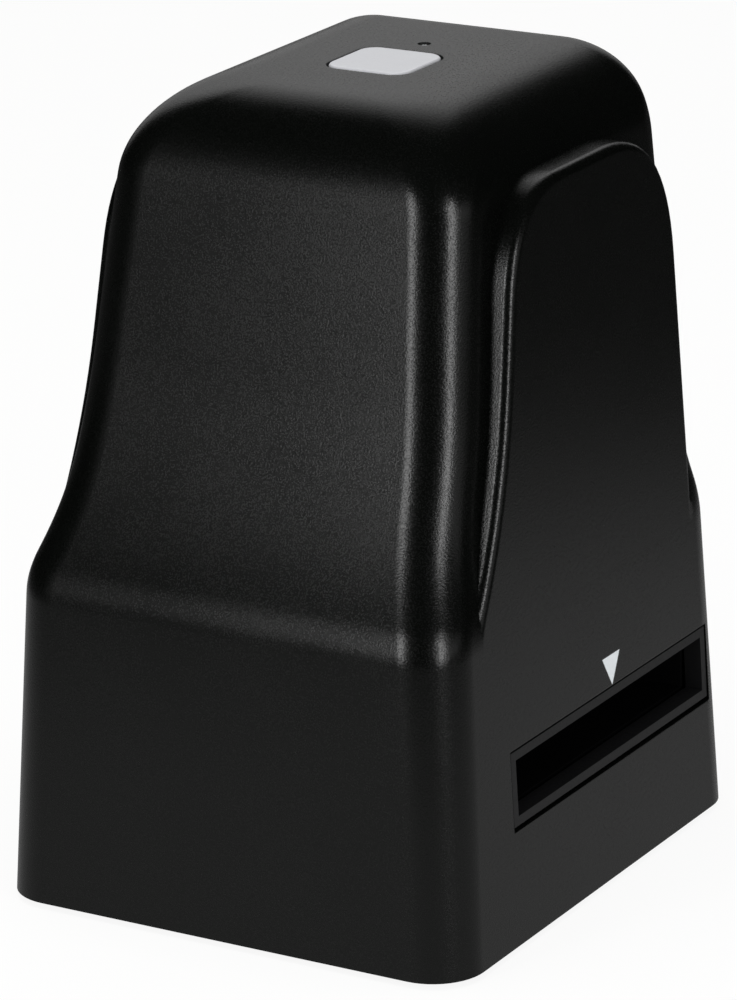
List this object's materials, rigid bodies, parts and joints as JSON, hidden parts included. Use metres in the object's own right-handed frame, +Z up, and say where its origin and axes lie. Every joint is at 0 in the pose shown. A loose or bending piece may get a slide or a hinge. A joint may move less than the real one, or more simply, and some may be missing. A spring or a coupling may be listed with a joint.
{
  "type": "film negative scanner",
  "caption": "Upright black tower on a wider foot: a film holder slides through a slot in the foot, and a silver button and pinhole light sit on the flat top.",
  "frame": {"origin": "centre of the footprint, on the surface the rubber feet stand on", "axes": "+Z up; the front, below the button, faces -Y; the film holder slides along X"},
  "size_m": [0.0926, 0.105, 0.143],
  "materials": {
    "hood_plastic": "fine spark-eroded satin black ABS",
    "black_plastic": "plain satin black ABS",
    "inner_black": "dead matt black, so that no light strays",
    "foot_rubber": "matt black rubber",
    "screw_steel": "bright plated steel",
    "button_silver": "silver-grey satin paint on plastic",
    "white_plastic": "white moulded plastic",
    "opal_plastic": "opal, spreads the light",
    "circuit_board": "green solder mask on glass-fibre board",
    "chip_black": "moulded black epoxy",
    "lens_coated_glass": "coated glass, faint violet",
    "flat_cable": "off-white flat cable",
    "clear_plastic": "clear acrylic"
  },
  "bodies": {
    "housing": {"hood": "hood_plastic", "slot_bezel_right": "black_plastic", "slot_bezel_left": "black_plastic", "base_plate": "black_plastic", "lens_holder": "black_plastic", "lens_barrel": "black_plastic", "detent_plug": "black_plastic", "film_gate_lower": "inner_black", "film_gate_upper": "inner_black", "light_shroud": "inner_black", "foot_rear_right": "foot_rubber", "foot_rear_left": "foot_rubber", "foot_front_left": "foot_rubber", "foot_front_right": "foot_rubber", "hood_screw_rear_right": "screw_steel", "hood_screw_rear_left": "screw_steel", "hood_screw_front_left": "screw_steel", "hood_screw_front_right": "screw_steel", "gate_screw_rear_right": "screw_steel", "gate_screw_rear_left": "screw_steel", "gate_screw_front_left": "screw_steel", "gate_screw_front_right": "screw_steel", "shroud_screw_left": "screw_steel", "shroud_screw_right": "screw_steel", "camera_screw_rear": "screw_steel", "camera_screw_front": "screw_steel", "main_board_screw_rear": "screw_steel", "main_board_screw_front": "screw_steel", "switch_board_screw_left": "screw_steel", "switch_board_screw_right": "screw_steel", "detent_spring": "screw_steel", "usb_socket": "screw_steel", "backlight_box": "white_plastic", "backlight_board": "white_plastic", "camera_connector": "white_plastic", "main_connector": "white_plastic", "diffuser_plate": "opal_plastic", "backlight_lamp_1": "opal_plastic", "backlight_lamp_2": "opal_plastic", "backlight_lamp_3": "opal_plastic", "backlight_lamp_4": "opal_plastic", "camera_board": "circuit_board", "main_board": "circuit_board", "switch_board": "circuit_board", "image_sensor": "chip_black", "image_processor": "chip_black", "memory_chip": "chip_black", "switch_body": "chip_black", "lens_glass": "lens_coated_glass", "camera_ribbon": "flat_cable", "switch_lead": "flat_cable", "light_pipe": "clear_plastic", "status_lamp": "clear_plastic"},
    "button": {"scan_button": "button_silver", "switch_plunger": "screw_steel"},
    "detent": {"detent_plunger": "screw_steel"}
  },
  "joints": [
    {"name": "scan_button_press", "type": "slide", "parent": "housing", "child": "button", "axis": [0, 0, -1], "range_m": [0, 0.0006], "stiffness_N_per_m": 2500, "springref_m": -0.0002},
    {"name": "holder_detent_press", "type": "slide", "parent": "housing", "child": "detent", "axis": [0, 0, -1], "range_m": [0, 0.0011], "stiffness_N_per_m": 800, "springref_m": -0.0006, "deforming": ["detent_spring"]}
  ]
}
